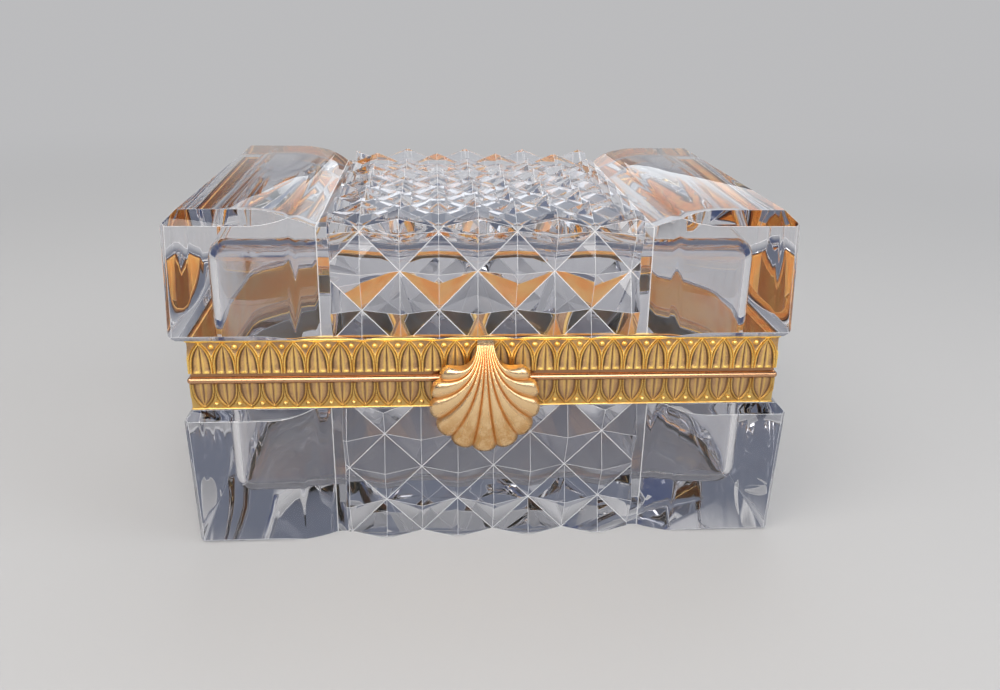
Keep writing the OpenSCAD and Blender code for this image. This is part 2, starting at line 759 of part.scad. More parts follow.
base_glass();
base_cement();
base_collar();
base_gallery();
base_rim();
base_hinge_left();
base_hinge_right();
hinge_pin_left();
hinge_pin_right();
base_hinge_rivets();
lid_glass();
lid_cement();
lid_collar();
lid_gallery();
lid_rim();
lid_hinge_left();
lid_hinge_right();
lid_hinge_rivets();
shell_clasp();
clasp_studs();
catch_tongue();
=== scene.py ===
import math

import bpy
from mathutils import Matrix, Vector


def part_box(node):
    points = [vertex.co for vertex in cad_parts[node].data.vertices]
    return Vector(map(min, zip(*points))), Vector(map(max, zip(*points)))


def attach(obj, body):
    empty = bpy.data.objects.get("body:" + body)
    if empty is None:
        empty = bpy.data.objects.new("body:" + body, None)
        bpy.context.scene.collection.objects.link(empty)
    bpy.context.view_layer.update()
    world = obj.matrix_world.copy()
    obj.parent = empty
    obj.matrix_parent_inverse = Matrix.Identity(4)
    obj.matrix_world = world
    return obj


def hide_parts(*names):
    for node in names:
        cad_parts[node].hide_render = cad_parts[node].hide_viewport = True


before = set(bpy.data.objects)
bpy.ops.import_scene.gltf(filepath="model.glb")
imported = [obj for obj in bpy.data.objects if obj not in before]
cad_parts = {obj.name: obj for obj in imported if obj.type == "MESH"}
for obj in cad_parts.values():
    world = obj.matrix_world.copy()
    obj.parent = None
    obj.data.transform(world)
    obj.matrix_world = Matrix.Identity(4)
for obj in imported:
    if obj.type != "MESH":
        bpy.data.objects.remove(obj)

scene = bpy.context.scene
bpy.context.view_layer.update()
MM = 0.001

# ---- Camera ---------------------------------------------------------------------------
# A hand-held view from a little left of the middle, above the front edge of the table,
# looking down on the lid and tipped by about a degree.
CAMERA_PLACE = Vector((-14.1, -267.99, 141.38)) * MM
CAMERA_YAW, CAMERA_PITCH, CAMERA_ROLL = 4.43, 21.23, 1.09
FOCAL_MM = 32.4

lens = bpy.data.cameras.new("camera")
lens.lens = FOCAL_MM
lens.sensor_width = 36
lens.clip_start, lens.clip_end = 0.01, 50
camera = bpy.data.objects.new("camera", lens)
scene.collection.objects.link(camera)
camera.matrix_world = (
    Matrix.Translation(CAMERA_PLACE)
    @ Matrix.Rotation(math.radians(-CAMERA_YAW), 4, "Z")
    @ Matrix.Rotation(math.radians(90 - CAMERA_PITCH), 4, "X")
    @ Matrix.Rotation(math.radians(CAMERA_ROLL), 4, "Z")
)
scene.camera = camera
scene.view_settings.view_transform = "Standard"
# a view through the box crosses a dozen polished faces, so light may bounce often
scene.cycles.max_bounces = 24
scene.cycles.transmission_bounces = 24
scene.cycles.glossy_bounces = 16


# ---- Table and light ------------------------------------------------------------------
# The box stands on a plain pale table that fades into a pale wall. The studio has a dim,
# cool ceiling and dark side screens that draw the edges of the glass, and soft lamps.
TABLE_COLOUR = (0.47, 0.47, 0.48)
TABLE_SIZE = 8.0
TABLE_FADE = (0.26, 0.85)  # metres from the middle, where the table turns into the wall
AIR_GAP = 0.06 * MM  # under the ground foot of the glass
WALL_COLOUR = (0.50, 0.50, 0.51)
CEILING_COLOUR = (0.13, 0.145, 0.19)
SCREEN_COLOUR = (0.05, 0.07, 0.15)
# where they begin and are full, as a share of the direction that rises or runs to a side
CEILING_RISE, SCREEN_RISE, SCREEN_ASIDE = (0.02, 0.40), (0.04, 0.10), (0.62, 0.72)
ROOM_STRENGTH = 0.36
LAMPS = (
    # name, place, size, power in watts, colour; only the spark shows through the glass
    ("key", (-0.80, -0.60, 0.95), 1.0, 9.0, (1.0, 0.96, 0.90)),
    ("front", (0.05, -0.95, 0.62), 0.85, 9.0, (1.0, 0.96, 0.90)),
    ("fill", (1.10, -0.45, 0.70), 0.9, 5.0, (0.92, 0.96, 1.0)),
    ("back", (0.25, 1.20, 1.00), 1.6, 8.0, (0.93, 0.97, 1.0)),
    ("spark", (-0.15, -0.80, 0.95), 0.34, 0.8, (1.0, 1.0, 1.0)),
)
LAMP_AIM = Vector((0, 0, 0.045))


class Wire:
    """A socket in a finish. Arithmetic on wires adds Math nodes; node() adds any other."""

    def __init__(self, tree, socket=None):
        self.tree, self.socket = tree, socket

    def node(self, kind, settings=None, values=None, out=0):
        made = self.tree.nodes.new("ShaderNode" + kind)
        for name, value in (settings or {}).items():
            setattr(made, name, value)
        for name, value in (values or {}).items():
            if isinstance(value, Wire):
                self.tree.links.new(value.socket, made.inputs[name])
            elif isinstance(value, tuple) and len(value) == 3 and made.inputs[name].type == "RGBA":
                made.inputs[name].default_value = (*value, 1)
            else:
                made.inputs[name].default_value = value
        return Wire(self.tree, made.outputs[out] if made.outputs else None)

    def math(self, operation, *others):
        return self.node("Math", {"operation": operation}, dict(enumerate((self, *others))))

    def __add__(self, other):
        return self.math("ADD", other)

    __radd__ = __add__

    def __mul__(self, other):
        return self.math("MULTIPLY", other)

    __rmul__ = __mul__

    def __sub__(self, other):
        return self.math("SUBTRACT", other)

    def __rsub__(self, other):
        return self.node("Math", {"operation": "SUBTRACT"}, {0: other, 1: self})

    def ramp(self, low, high):
        """0 below low, 1 above high, smooth between."""
        return self.node(
            "MapRange",
            {"interpolation_type": "SMOOTHSTEP"},
            {"Value": self, "From Min": low, "From Max": high},
        )

    def mixed(self, one, other, share):
        """One colour, going to the other as share goes to 1."""
        return self.node("Mix", {"data_type": "RGBA"}, {0: share, 6: one, 7: other}, out=2)

    def noise(self, scale, detail, roughness=0.5):
        """Soft noise from 0 to 1 at this place, with so many features to a millimetre."""
        values = {"Vector": self, "Scale": scale, "Detail": detail, "Roughness": roughness}
        return self.node("TexNoise", {}, values)

    def stretched(self, x, y, z):
        """This place with its axes scaled, to draw a pattern out along the smallest."""
        return self.node("Mapping", {}, {"Vector": self, "Scale": (x, y, z)})


def new_finish(name):
    """A bare material and the wire that its nodes start from."""
    material = bpy.data.materials.new(name)
    material.use_nodes = True
    material.node_tree.nodes.clear()
    return material, Wire(material.node_tree)


def place_mm(start):
    """The point's own coordinates in millimetres."""
    place = start.node("TexCoord", out="Object")
    return start.node("VectorMath", {"operation": "SCALE"}, {0: place, "Scale": 1 / MM})


def seen_ray(start):
    """1 for a ray that shows the background: straight, mirrored or through glass."""
    rays = start.tree.nodes.new("ShaderNodeLightPath")
    straight, glossy, through = (
        Wire(start.tree, rays.outputs[f"Is {kind} Ray"])
        for kind in ("Camera", "Glossy", "Transmission")
    )
    return straight.math("MAXIMUM", glossy).math("MAXIMUM", through)


bpy.ops.object.select_all(action="DESELECT")
bpy.ops.mesh.primitive_circle_add(
    vertices=96, radius=TABLE_SIZE / 2, fill_type="NGON", location=(0, 0, -AIR_GAP)
)
table = bpy.context.object
table.name = "table"
table_finish, start = new_finish("table_finish")
top = start.node("BsdfDiffuse", {}, {"Color": TABLE_COLOUR})
wall_tone = start.node("Emission", {}, {"Color": WALL_COLOUR, "Strength": 1.0})
away = start.node("VectorMath", {"operation": "LENGTH"}, {0: place_mm(start)}, out="Value") * MM
start.node(
    "OutputMaterial",
    {},
    {
        "Surface": start.node(
            "MixShader", {}, {0: away.ramp(*TABLE_FADE) * seen_ray(start), 1: top, 2: wall_tone}
        )
    },
)
table.data.materials.append(table_finish)

for name, place, size, power, tint in LAMPS:
    lamp = bpy.data.lights.new(name, "AREA")
    lamp.shape, lamp.size = "DISK", size
    lamp.energy, lamp.color = power, tint
    stand = bpy.data.objects.new(name, lamp)
    scene.collection.objects.link(stand)
    stand.location = place
    stand.rotation_mode = "QUATERNION"
    stand.rotation_quaternion = (LAMP_AIM - Vector(place)).to_track_quat("-Z", "Y")
    stand.visible_transmission = name == "spark"

room = bpy.data.worlds.new("room")
room.use_nodes = True
room.node_tree.nodes.clear()
scene.world = room
start = Wire(room.node_tree)
aim = start.node("TexCoord", out="Generated")
rise = start.node("SeparateXYZ", {}, {0: aim}, out=2)
aside = start.node("SeparateXYZ", {}, {0: aim}, out=0).math("ABSOLUTE")
studio = start.mixed(WALL_COLOUR, CEILING_COLOUR, rise.ramp(*CEILING_RISE))
screens = aside.ramp(*SCREEN_ASIDE) * rise.ramp(*SCREEN_RISE)
studio = start.mixed(studio, SCREEN_COLOUR, screens)
lit = start.node("Background", {}, {"Color": (1, 1, 1), "Strength": ROOM_STRENGTH})
mirrored = start.node("Background", {}, {"Color": studio, "Strength": 1.0})
plain = start.node("Background", {}, {"Color": WALL_COLOUR, "Strength": 1.0})
shown = start.node(
    "MixShader", {}, {0: start.node("LightPath", out="Is Camera Ray"), 1: mirrored, 2: plain}
)
start.node(
    "OutputWorld",
    {},
    {"Surface": start.node("MixShader", {}, {0: seen_ray(start), 1: lit, 2: shown})},
)


# ---- Glass halves ---------------------------------------------------------------------
# Two thick blocks of clear lead crystal, ground hollow inside, cut with a field of diamonds
# between plain panels, and polished. Each block is the carried-over solid, welded, with the
# sharp arris of every cut worn to a hair's breadth.
CRYSTAL_COLOUR = (0.92, 0.92, 0.95)
CRYSTAL_IOR = 1.54
HAZE_ROUGHNESS, ARRIS_ROUGHNESS, RUBBED_ROUGHNESS = 0.02, 0.12, 0.35
# what each surface leaves of a lamp's light in the shadow
LID_SHADE = (0.97, 0.97, 0.98)
BASE_SHADE = (0.38, 0.39, 0.42)
ARRIS = 0.14 * MM
RIDGE_SHARE = 0.45  # width of the bevel on a ridge, against 1 in a groove
ARRIS_COLOUR = (0.86, 0.87, 0.90)
ARRIS_SHARE = 0.5  # how much of an arris is rubbed white, the rest being clear
WELD = 0.002 * MM
# angle between two faces: below FLAT they are one, below ROUND they shade as one, and above
# SHARP the edge between them is worn
FLAT, ROUND, SHARP = math.radians(0.4), math.radians(14), math.radians(20)


def select_only(piece):
    bpy.ops.object.select_all(action="DESELECT")
    piece.select_set(True)
    bpy.context.view_layer.objects.active = piece


def welded_copy(node, name):
    """A copy of a carried-over node as one welded mesh with its flat faces whole."""
    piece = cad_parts[node].copy()
    piece.data = piece.data.copy()
    piece.name = piece.data.name = name
    piece.parent = None
    piece.matrix_world = Matrix.Identity(4)
    scene.collection.objects.link(piece)
    select_only(piece)
    bpy.ops.object.mode_set(mode="EDIT")
    bpy.ops.mesh.select_all(action="SELECT")
    bpy.ops.mesh.remove_doubles(threshold=WELD)
    bpy.ops.mesh.dissolve_limited(angle_limit=FLAT)
    bpy.ops.object.mode_set(mode="OBJECT")
    bpy.ops.mesh.customdata_custom_splitnormals_clear()
    return piece


def soften(piece, node, width, angle, ridge_share):
    """Wears the sharp edges by a bevel, less on ridges than in grooves, and marks its faces."""
    select_only(piece)
    mesh = piece.data
    sides = {}
    for face in mesh.polygons:
        for key in face.edge_keys:
            sides.setdefault(key, []).append(face)
    wear = mesh.attributes.new("bevel_weight_edge", "FLOAT", "EDGE")
    for edge in mesh.edges:
        one, other = sides[tuple(sorted(edge.vertices))]
        if one.normal.angle(other.normal) > angle:
            ridge = one.normal.dot(other.center - one.center) < 0
            wear.data[edge.index].value = ridge_share if ridge else 1.0
    mesh.materials.clear()
    for finish in ("flat", "arris"):
        mesh.materials.append(bpy.data.materials.new(finish))
    bevel = piece.modifiers.new("arris", "BEVEL")
    bevel.width, bevel.segments, bevel.material = width, 2, 1
    bevel.limit_method, bevel.use_clamp_overlap = "WEIGHT", False
    bpy.ops.object.modifier_apply(modifier=bevel.name)
    low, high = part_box(node)
    for point in mesh.vertices:
        point.co = [min(max(c, a), b) for c, a, b in zip(point.co, low, high)]
    arris = mesh.attributes.new("arris", "FLOAT", "FACE")
    for face in mesh.polygons:
        arris.data[face.index].value = face.material_index
        face.material_index = 0


def dress(piece, finish):
    piece.data.materials.clear()
    piece.data.materials.append(finish)


for half, body, shade in (
    ("base_glass", "base", BASE_SHADE),
    ("lid_glass", "lid", LID_SHADE),
):
    block = welded_copy(half, half + "_cut")
    soften(block, half, ARRIS, SHARP, RIDGE_SHARE)
    select_only(block)
    bpy.ops.object.shade_smooth_by_angle(angle=ROUND)

    crystal, start = new_finish(body + "_crystal")
    place = place_mm(start)
    haze = place.noise(0.045, 4)
    wave = place.noise(0.03, 1)
    polish = start.node("Bump", {}, {"Height": wave, "Strength": 0.04, "Distance": 1.5 * MM})
    arris = start.node("Attribute", {"attribute_name": "arris"}, out="Fac")
    clear = start.node(
        "BsdfPrincipled",
        {},
        {
            "Base Color": CRYSTAL_COLOUR,
            "Roughness": haze.ramp(0.5, 0.9) * HAZE_ROUGHNESS + arris * ARRIS_ROUGHNESS,
            "IOR": CRYSTAL_IOR,
            "Transmission Weight": 1.0,
            "Normal": polish,
        },
    )
    rubbed = start.node(
        "BsdfPrincipled", {}, {"Base Color": ARRIS_COLOUR, "Roughness": RUBBED_ROUGHNESS}
    )
    cut = start.node("MixShader", {}, {0: arris * ARRIS_SHARE, 1: clear, 2: rubbed})
    lamp_ray = start.node("LightPath", out="Is Shadow Ray")
    let_through = start.node("BsdfTransparent", {}, {"Color": shade})
    start.node(
        "OutputMaterial",
        {},
        {"Surface": start.node("MixShader", {}, {0: lamp_ray, 1: cut, 2: let_through})},
    )
    dress(block, crystal)
    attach(block, body)
    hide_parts(half)


# ---- Setting cement and collars -------------------------------------------------------
# Each glass neck is bedded in a brass collar with setting plaster that is tinted to look like
# gold through the glass. The collars are plain bent strip, bright inside and never polished.
CEMENT_COLOUR = (1.0, 0.56, 0.14)
CEMENT_PALE = (1.0, 0.71, 0.26)
COLLAR_COLOUR = (0.95, 0.64, 0.26)
COLLAR_DULL = (0.80, 0.50, 0.20)


def skin(start, colour, metallic, roughness, relief, strength, depth_mm):
    """Closes a finish with one surface that has a fine relief."""
    bump = start.node(
        "Bump", {}, {"Height": relief, "Strength": strength, "Distance": depth_mm * MM}
    )
    values = {"Base Color": colour, "Metallic": metallic, "Roughness": roughness, "Normal": bump}
    surface = start.node("BsdfPrincipled", {}, values)
    start.node("OutputMaterial", {}, {"Surface": surface})


cement, start = new_finish("setting_cement")
place = place_mm(start)
grit = place.noise(2.2, 5)
stain = place.noise(0.12, 2)
skin(
    start,
    colour=start.mixed(CEMENT_COLOUR, CEMENT_PALE, stain.ramp(0.35, 0.65)),
    metallic=0.15,
    roughness=0.30 + 0.2 * grit,
    relief=grit,
    strength=0.25,
    depth_mm=0.1,
)

collar_brass, start = new_finish("collar_brass")
place = place_mm(start)
stain = place.noise(0.09, 4)
drawn = place.stretched(0.05, 0.05, 3.0).noise(1, 3)
skin(
    start,
    colour=start.mixed(COLLAR_COLOUR, COLLAR_DULL, stain.ramp(0.4, 0.65)),
    metallic=1.0,
    roughness=0.24 + 0.16 * drawn,
    relief=drawn,
    strength=0.15,
    depth_mm=0.05,
)
for node, finish in (
    ("base_cement", cement),
    ("lid_cement", cement),
    ("base_collar", collar_brass),
    ("lid_collar", collar_brass),
):
    dress(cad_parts[node], finish)


# ---- Stamped galleries ----------------------------------------------------------------
# Two strips of thin brass, stamped with a row of lancet leaves, bent round the collars and
# gilt. The lid's row points up to a plain fillet, the base's row points down. Each leaf has
# a vein and a raised moulding, with a bead on a split stem between the tips.
WALL_X, WALL_Y = 77.4, 50.9
ARCHES_FRONT, ARCHES_SIDE = 26, 17
RELIEF = 0.52
SHEET = 0.7
# across a leaf, middle to edge: share of its half width and height of its flutes
LEAF_SHARES = (0.0, 0.10, 0.24, 0.42, 0.66, 0.88, 1.0)
LEAF_HEIGHTS = (0.0, 0.12, 0.27, 0.19, 0.12, 0.03, 0.0)
# past its edge, in millimetres: the moulding, a thin outer line, then a stem where two leaves
# are close together or a cup round the bead
MOULDING = ((0.08, 0.34), (0.22, RELIEF), (0.50, RELIEF), (0.64, 0.05))
LINE_REACH, LINE_HEIGHT = 0.30, 0.42
STEM_HEIGHT, STEM_GAP, CUP_GAP = 0.40, 0.4, 0.8
# along a leaf: a lancet, whose moulding meets a little above its own tip
LEAF_HALF, LANCET_POWER, MOULDING_TIP, SHUT_AT = 2.26, 3.1, 1.085, -0.7
FOOT_ROWS = (0.0, 0.03, 0.06, 0.10, 0.15)
FOOT_SWELL = (0.36, 0.42, 0.34, 0.16, 0.0)
LEAF_ROWS = tuple(0.15 + 0.95 * i / 15 for i in range(1, 16))
# the plain fillet over the tips: share of it still above the row, and height
FILLET_ROWS = ((0.82, 0.3), (0.62, 0.46), (0.3, 0.5), (0.12, 0.4), (0.0, 0.2))
BEAD_R, BEAD_PROUD, BEAD_SHARE = 0.78, 0.02, 0.865
SEAM_WELD, BAND_WELD = 0.004 * MM, 0.01 * MM
SMOOTH = math.radians(50)
GILT_BRIGHT = (1.0, 0.68, 0.20)
GILT_DEEP = (0.93, 0.54, 0.12)
# painted shade: the next colour darkens the very floor of the ground, next to the relief
GROUND_PAINTED_SHADE = (0.07, 0.035, 0.015)
GROUND_BROWN = (0.28, 0.17, 0.10)
GROUND_GILT = (0.58, 0.35, 0.13)
PAINTED_SHADE_RISE, CREST_RISE = (0.0, 0.12), (0.13, 0.32)  # millimetres above the ground


def stamped_unit(pitch, foot_z, height, fillet, cup_height, points_up, feet):
    """One leaf of the row, upright, its ground at y = 0 and its relief towards -y."""
    half = pitch / 2
    tip = (height - fillet) / MOULDING_TIP
    columns = len(LEAF_SHARES) + len(MOULDING) + 3
    rows = [share * tip for share in FOOT_ROWS + LEAF_ROWS]
    rows += [height - fillet * share for share, _ in FILLET_ROWS]
    bpy.ops.mesh.primitive_grid_add(
        x_subdivisions=2 * (columns - 1), y_subdivisions=len(rows) - 1, size=1
    )
    unit = bpy.context.object
    points = sorted(unit.data.vertices, key=lambda v: (round(v.co.y, 6), v.co.x))
    across = 2 * columns - 1
    for row, rise in enumerate(rows):
        width = max(LEAF_HALF * (1 - (rise / tip) ** LANCET_POWER), SHUT_AT)
        line = [(max(width, 0) * s, h) for s, h in zip(LEAF_SHARES, LEAF_HEIGHTS)]
        line += [(max(width + past, 0), h) for past, h in MOULDING]
        edge = min(line[-1][0], half)
        gap = max(half - edge, 0.01)
        open_share = min(max((gap - STEM_GAP) / (CUP_GAP - STEM_GAP), 0), 1)
        cup = STEM_HEIGHT + (cup_height - STEM_HEIGHT) * open_share
        line += [(edge + min(0.5 * gap, LINE_REACH), LINE_HEIGHT)]
        line += [(edge + min(0.75 * gap, 2 * LINE_REACH), cup), (half, cup)]
        # above the leaf's tip the columns run together on the middle line
        shut = sum(reach < 0.03 for reach, _ in line[1:]) + 1
        line[:shut] = [(0, line[shut if shut > 1 else 0][1])] * shut
        past_leaf = row - len(FOOT_ROWS) - len(LEAF_ROWS)
        for i, (reach, relief) in enumerate(line):
            if past_leaf >= 0:
                reach, relief = half * i / (columns - 1), FILLET_ROWS[past_leaf][1]
            elif feet and row < len(FOOT_ROWS):
                lobe = math.sin(math.pi * min(reach / max(width, 0.1), 1.0)) ** 0.7
                relief = max(relief, FOOT_SWELL[row] * lobe)
            reach = min(reach, half)
            for side in (-1, 1):
                point = points[row * across + columns - 1 + side * i]
                z = foot_z + (rise if points_up else height - rise)
                point.co = (side * reach * MM, -relief * MM, z * MM)
    if not points_up:
        bpy.ops.object.mode_set(mode="EDIT")
        bpy.ops.mesh.select_all(action="SELECT")
        bpy.ops.mesh.flip_normals()
        bpy.ops.object.mode_set(mode="OBJECT")
    return unit


def repeated(piece, count, pitch):
    """The piece as a centred row along X, each copy welded to the next."""
    select_only(piece)
    row = piece.modifiers.new("row", "ARRAY")
    row.count = count
    row.use_relative_offset, row.use_constant_offset = False, True
    row.constant_offset_displace = (pitch * MM, 0, 0)
    row.use_merge_vertices, row.merge_threshold = True, SEAM_WELD
    bpy.ops.object.modifier_apply(modifier=row.name)
    piece.data.transform(Matrix.Translation((-(count - 1) * pitch / 2 * MM, 0, 0)))


def gallery_band(name, foot_z, height, fillet, cup_height, points_up, feet):
    """A row on each of the four walls, mitred, with its back folded in to make one closed band."""
    ground_x, ground_y = WALL_X - RELIEF, WALL_Y - RELIEF
    back_x, back_y = WALL_X - SHEET, WALL_Y - SHEET
    parts = []
    bead_rise = (height - fillet) * BEAD_SHARE
    bead_z = foot_z + (bead_rise if points_up else height - bead_rise)
    for turn in range(4):
        count = (ARCHES_FRONT, ARCHES_SIDE)[turn % 2]
        length = 2 * (ground_x, ground_y)[turn % 2]
        stand_off = (ground_y, ground_x)[turn % 2]
        pitch = length / count
        row = stamped_unit(pitch, foot_z, height, fillet, cup_height, points_up, feet)
        repeated(row, count, pitch)
        for point in row.data.vertices:
            if abs(abs(point.co.x) - length / 2 * MM) < BAND_WELD:
                point.co.x += math.copysign(point.co.y, point.co.x)
        bpy.ops.object.select_all(action="DESELECT")
        bpy.ops.mesh.primitive_uv_sphere_add(segments=12, ring_count=8, radius=BEAD_R * MM)
        beads = bpy.context.object
        beads.data.transform(Matrix.Translation((0, -BEAD_PROUD * MM, bead_z * MM)))
        repeated(beads, count - 1, pitch)
        for piece in (row, beads):
            piece.data.transform(Matrix.Translation((0, -stand_off * MM, 0)))
            piece.data.transform(Matrix.Rotation(turn * math.pi / 2, 4, "Z"))
            parts.append(piece)
    bpy.ops.object.select_all(action="DESELECT")
    for row in parts:
        row.select_set(True)
    bpy.context.view_layer.objects.active = parts[0]
    bpy.ops.object.join()
    band = parts[0]
    band.name = band.data.name = name
    select_only(band)
    bpy.ops.object.mode_set(mode="EDIT")
    bpy.ops.mesh.select_all(action="SELECT")
    bpy.ops.mesh.remove_doubles(threshold=BAND_WELD)
    bpy.ops.mesh.select_all(action="DESELECT")
    bpy.ops.mesh.select_mode(type="EDGE")
    bpy.ops.mesh.select_non_manifold(
        use_wire=False, use_multi_face=False, use_non_contiguous=False, use_verts=False
    )
    bpy.ops.mesh.extrude_edges_move()
    bpy.ops.object.mode_set(mode="OBJECT")
    for point in band.data.vertices:
        if point.select:
            point.co.x = max(-back_x * MM, min(back_x * MM, point.co.x))
            point.co.y = max(-back_y * MM, min(back_y * MM, point.co.y))
    bpy.ops.object.mode_set(mode="EDIT")
    bpy.ops.mesh.bridge_edge_loops()
    bpy.ops.mesh.select_all(action="SELECT")
    bpy.ops.mesh.normals_make_consistent(inside=False)
    bpy.ops.object.mode_set(mode="OBJECT")
    bpy.ops.object.shade_smooth_by_angle(angle=SMOOTH)
    return band


def stand_out(start, place, half_x, half_y):
    """How far a place stands out of a wall with these half sizes, in millimetres."""
    out_x = start.node("SeparateXYZ", {}, {0: place}, out=0).math("ABSOLUTE") - half_x
    out_y = start.node("SeparateXYZ", {}, {0: place}, out=1).math("ABSOLUTE") - half_y
    return out_x.math("MAXIMUM", out_y)


def stamped_gilding(name, painted_shade_share):
    """Gilding that is brown in the ground and bright on the crests, darkened all over towards the
    ground's brown by the share given, as painted shade.
    """
    gilding, start = new_finish(name)
    place = place_mm(start)
    proud = stand_out(start, place, WALL_X - RELIEF, WALL_Y - RELIEF)
    crest = proud.ramp(*CREST_RISE)
    grit = place.noise(3.2, 4, roughness=0.7)
    rub = place.noise(0.22, 3)
    hatch = place.stretched(0.8, 0.8, 4.0).noise(1, 2)
    tarnish = (0.6 * grit + 0.5 * rub).ramp(0.40, 0.70)
    deep = start.mixed(GROUND_BROWN, GROUND_GILT, tarnish)
    # painted shade: the floor of the ground is taken to its darkest brown, drawing dark lines
    # round the relief
    deep = start.mixed(GROUND_PAINTED_SHADE, deep, proud.ramp(*PAINTED_SHADE_RISE))
    worn = (rub + 0.25 * grit).ramp(0.42, 0.62)
    raised = start.mixed(GILT_DEEP, GILT_BRIGHT, worn)
    gilt = start.mixed(deep, raised, crest)
    skin(
        start,
        # painted shade: the whole gilding is taken towards the ground's brown by the given share,
        # which darkens the base's row
        colour=start.mixed(gilt, GROUND_BROWN, painted_shade_share),
        metallic=0.5 + 0.5 * crest,
        roughness=0.50 - 0.26 * crest + 0.08 * grit,
        relief=grit + hatch * (1 - crest),
        strength=0.6,
        depth_mm=0.12,
    )
    return gilding


# the base's leaves point down and are darkened towards brown as painted shade, the lid's point up
# and have swollen feet
for name, node, body, foot_z, height, fillet, cup_height, up, feet, painted_shade_share in (
    ("base_gallery_band", "base_gallery", "base", 39.4, 7.2, 0.5, 0.27, False, False, 0.38),
    ("lid_gallery_band", "lid_gallery", "lid", 49.5, 9.4, 0.95, 0.08, True, True, 0.0),
):
    band = gallery_band(name, foot_z, height, fillet, cup_height, up, feet)
    dress(band, stamped_gilding(node + "_gilding", painted_shade_share))
    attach(band, body)
    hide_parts(node)


# ---- Frames ---------------------------------------------------------------------------
# A flat brass frame covers the ground edge of each glass. The lower one ends in a half-round
# bead, rounded off at the corners, that closes against the upper one. Both are burnished and
# gilt in a pinker gold than the galleries, worn to copper on the bead. The upper one's outer
# edge, in the recessed gap above the bead, has painted shade in dark copper.
ROSE_BRIGHT = (0.92, 0.58, 0.33)
ROSE_WORN = (0.68, 0.38, 0.19)
COPPER_BEAD = (0.60, 0.34, 0.19)
# painted shade: the dark copper of the upper frame's outer edge, in the recessed gap above the
# bead
EDGE_PAINTED_SHADE = (0.40, 0.21, 0.11)
COPPER_AND_SHADE_RISE = (-0.2, -0.1)  # millimetres from the plane where the edge begins

for node, edge_x, edge_y, copper_and_shade in (
    ("base_rim", 77.2, 50.7, COPPER_BEAD),
    ("lid_rim", 76.8, 50.3, EDGE_PAINTED_SHADE),
):
    rose_gilding, start = new_finish(node + "_gilding")
    place = place_mm(start)
    rub = place.noise(0.16, 4)
    fine = place.noise(2.6, 3)
    gilt = start.mixed(ROSE_BRIGHT, ROSE_WORN, (rub + 0.2 * fine).ramp(0.5, 0.75))
    # the outer edge: copper wear on the lower frame's bead, painted shade on the upper frame's
    # recessed edge
    edge = stand_out(start, place, edge_x, edge_y).ramp(*COPPER_AND_SHADE_RISE)
    skin(
        start,
        colour=start.mixed(gilt, copper_and_shade, edge),
        metallic=1.0,
        roughness=0.17 + 0.16 * rub,
        relief=fine,
        strength=0.12,
        depth_mm=0.08,
    )
    dress(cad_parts[node], rose_gilding)


# ---- Hinges, pins and rivets ----------------------------------------------------------
# Two cast brass hinges with three knuckles each, filed, let into the frames and held by
# flush rivets. A steel wire pin with low heads runs through each.
HINGE_BRASS = (0.66, 0.44, 0.17)
HINGE_DULL = (0.38, 0.25, 0.11)
PIN_STEEL = (0.50, 0.49, 0.47)
PIN_DULL = (0.30, 0.28, 0.26)


def filed_metal(name, bright, dull, roughness):
    """Metal with fine file marks along X and tarnish in patches."""
    material, start = new_finish(name)
    place = place_mm(start)
    stain = place.noise(0.5, 4)
    marks = place.stretched(0.25, 5.0, 5.0).noise(1, 2)
    skin(
        start,
        colour=start.mixed(bright, dull, (0.8 * stain + 0.3 * marks).ramp(0.45, 0.7)),
        metallic=1.0,
        roughness=roughness + 0.15 * marks,
        relief=marks,
        strength=0.2,
        depth_mm=0.06,
    )
    return material


hinge_brass = filed_metal("hinge_brass", HINGE_BRASS, HINGE_DULL, 0.28)
pin_steel = filed_metal("pin_steel", PIN_STEEL, PIN_DULL, 0.3)
for node in (
    "base_hinge_left",
    "base_hinge_right",
    "lid_hinge_left",
    "lid_hinge_right",
    "base_hinge_rivets",
    "lid_hinge_rivets",
    "catch_tongue",
    "clasp_studs",
):
    dress(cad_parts[node], hinge_brass)
for node in ("hinge_pin_left", "hinge_pin_right"):
    dress(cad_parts[node], pin_steel)


# ---- Shell thumb-piece ----------------------------------------------------------------
# A small scallop shell, cast in brass, chased and gilt. Its ribs leave a narrow neck under
# the lid's edge and spread into eleven round lobes. Two studs hold it to the lid's mount.
SHELL_X, SHELL_TOP, SHELL_R = -1.2, 58.5, 15.2
SHELL_CENTRE_Z = SHELL_TOP - SHELL_R - 0.2
LOBES, LOBE_STEPS, LONG_STEPS = 11, 16, 60
NECK_HALF, NECK_T, SWELL, SIDE_FALL, RIB = 2.05, 2.6, 3.9, 0.6, 1.15
# half the fan's angle, how the lobes crowd and shorten at its sides, and the notches between
FAN_HALF, CROWD, SIDE_SHORT = 148, 0.06, 0.10
NOTCH, NOTCH_POWER = 1.25, 2.6
# how a rib bends out of the neck, the outer ones higher up
BEND_OUT, BEND_Z, BEND_UP = 1.45, SHELL_CENTRE_Z + 1, 7.5
# the face is rounded off at its top and tip, where these shares of its height are left
ROUND_TOP, TOP_LEFT = 0.02, 0.6
ROUND_FROM, TIP_LEFT = 0.93, 0.25
CLOSE_FROM = 0.9  # rows of the face are closer together from here to the tip
# the back bears on the spring tongue down to the seat's end, then clears the base glass
TONGUE_T, SHELL_BACK, SEAT_TO = 0.4, 3.0, 3 / 14


